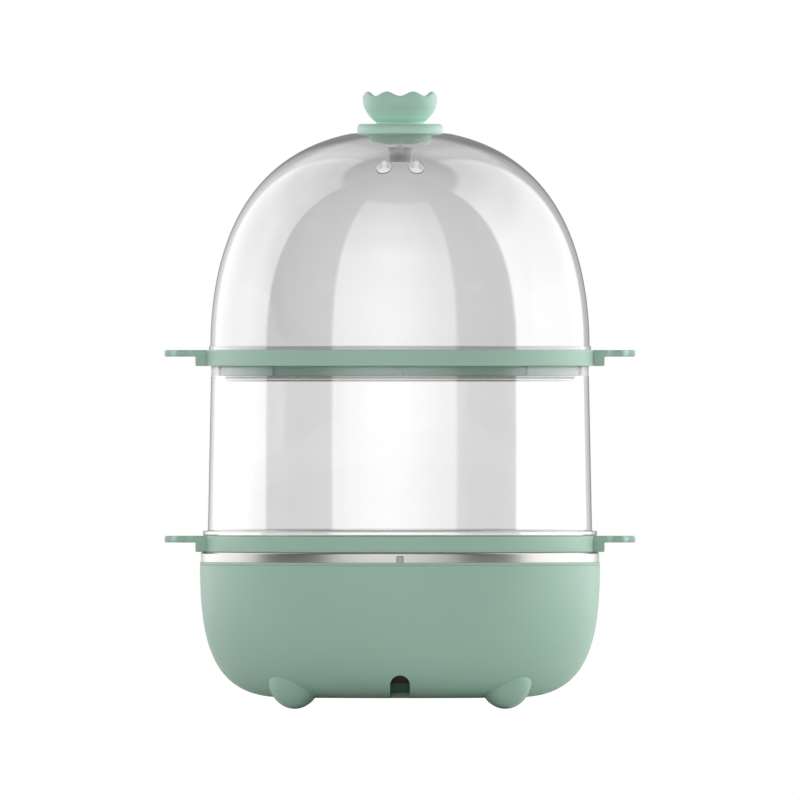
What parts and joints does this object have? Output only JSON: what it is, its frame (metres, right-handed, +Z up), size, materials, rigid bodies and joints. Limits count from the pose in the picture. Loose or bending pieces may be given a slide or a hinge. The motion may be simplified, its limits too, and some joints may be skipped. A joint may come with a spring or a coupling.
{
  "type": "egg cooker",
  "caption": "Household electric egg cooker with stacked egg trays, a clear middle tier, a clear domed lid and a crown-shaped knob.",
  "frame": {"origin": "middle of the base at the level of the table", "axes": "+Z up; +Y towards the push button at the front; -Y towards the cord notch at the back; the handles point along +X and -X"},
  "size_m": [0.179, 0.152, 0.2342],
  "materials": {
    "green_plastic": "satin moulded",
    "button_plastic": "satin moulded",
    "clear_plastic": "polished clear",
    "stainless_steel": "polished pressed sheet",
    "fastener_steel": "zinc plated",
    "silicone": "soft matt",
    "cast_aluminium": "as cast",
    "black_phenolic": "moulded",
    "fibre_sleeve": "woven glass fibre",
    "white_nylon": "moulded",
    "lens_plastic": "polished tinted",
    "lamp_glass": "polished",
    "wire_insulation": "smooth",
    "earth_insulation": "smooth"
  },
  "bodies": {
    "base": {"base_shell": "green_plastic", "bottom_cover": "green_plastic", "water_dish": "stainless_steel", "dish_gasket": "silicone", "dish_studs": "stainless_steel", "heater_plate": "cast_aluminium", "heater_tube": "stainless_steel", "heater_pins": "stainless_steel", "thermostat": "black_phenolic", "thermostat_strap": "stainless_steel", "strap_screws": "fastener_steel", "thermal_fuse": "fibre_sleeve", "fuse_clip": "stainless_steel", "terminal_block": "white_nylon", "terminal_screws": "fastener_steel", "switch_body": "black_phenolic", "switch_screws": "fastener_steel", "button_spring": "fastener_steel", "indicator_lens": "lens_plastic", "indicator_lamp": "lamp_glass", "lead_wires": "wire_insulation", "earth_wire": "earth_insulation", "lamp_leads": "wire_insulation", "cover_screws": "fastener_steel"},
    "power_button": {"power_button": "button_plastic"},
    "lower_tray": {"lower_tray": "green_plastic"},
    "middle_tier": {"middle_tier": "clear_plastic"},
    "upper_tray": {"upper_tray": "green_plastic"},
    "lid": {"lid_dome": "clear_plastic", "crown_knob": "green_plastic", "knob_screw": "fastener_steel", "knob_washer": "fastener_steel"}
  },
  "joints": [
    {"name": "button_press", "type": "slide", "parent": "base", "child": "power_button", "axis": [0, -1, 0], "range_m": [0, 0.0025], "stiffness_N_per_m": 400},
    {"name": "lower_tray_lift", "type": "slide", "parent": "base", "child": "lower_tray", "axis": [0, 0, 1], "range_m": [0, 0.05]},
    {"name": "tier_lift", "type": "slide", "parent": "lower_tray", "child": "middle_tier", "axis": [0, 0, 1], "range_m": [0, 0.06]},
    {"name": "upper_tray_lift", "type": "slide", "parent": "middle_tier", "child": "upper_tray", "axis": [0, 0, 1], "range_m": [0, 0.05]},
    {"name": "lid_lift", "type": "slide", "parent": "upper_tray", "child": "lid", "axis": [0, 0, 1], "range_m": [0, 0.07]}
  ]
}
